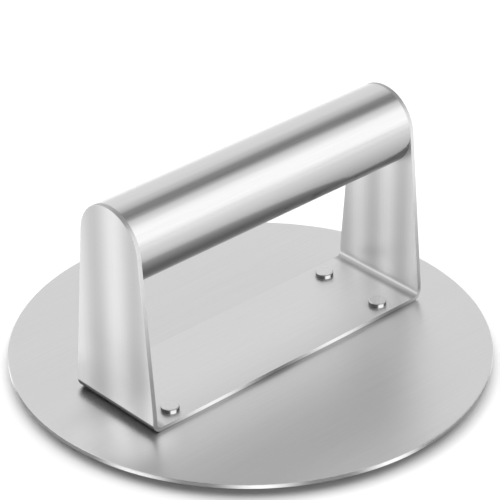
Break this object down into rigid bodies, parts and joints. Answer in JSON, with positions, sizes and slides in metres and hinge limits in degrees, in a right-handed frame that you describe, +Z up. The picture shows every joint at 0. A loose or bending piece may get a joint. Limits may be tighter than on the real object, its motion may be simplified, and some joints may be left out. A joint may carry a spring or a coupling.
{
  "type": "bacon press",
  "caption": "Flat round stainless press for bacon or burgers: a sheet disc with a folded bracket riveted on top and a tube grip welded between the bracket's legs.",
  "frame": {"origin": "centre of the flat pressing face, on the surface that the press stands on", "axes": "+Z up out of the pressing face, +X along the grip, from one bracket leg to the other"},
  "size_m": [0.14, 0.14, 0.0665],
  "materials": {
    "disc_steel": "brushed stainless sheet, grain along X",
    "bracket_steel": "brushed stainless sheet, grain along the strip",
    "tube_steel": "satin-polished stainless tube",
    "rivet_steel": "bright stainless rivet"
  },
  "bodies": {
    "root": {"press_plate": "disc_steel", "handle_bracket": "bracket_steel", "handle_tube": "tube_steel", "rivet_front_left": "rivet_steel", "rivet_front_right": "rivet_steel", "rivet_rear_left": "rivet_steel", "rivet_rear_right": "rivet_steel"}
  },
  "joints": []
}
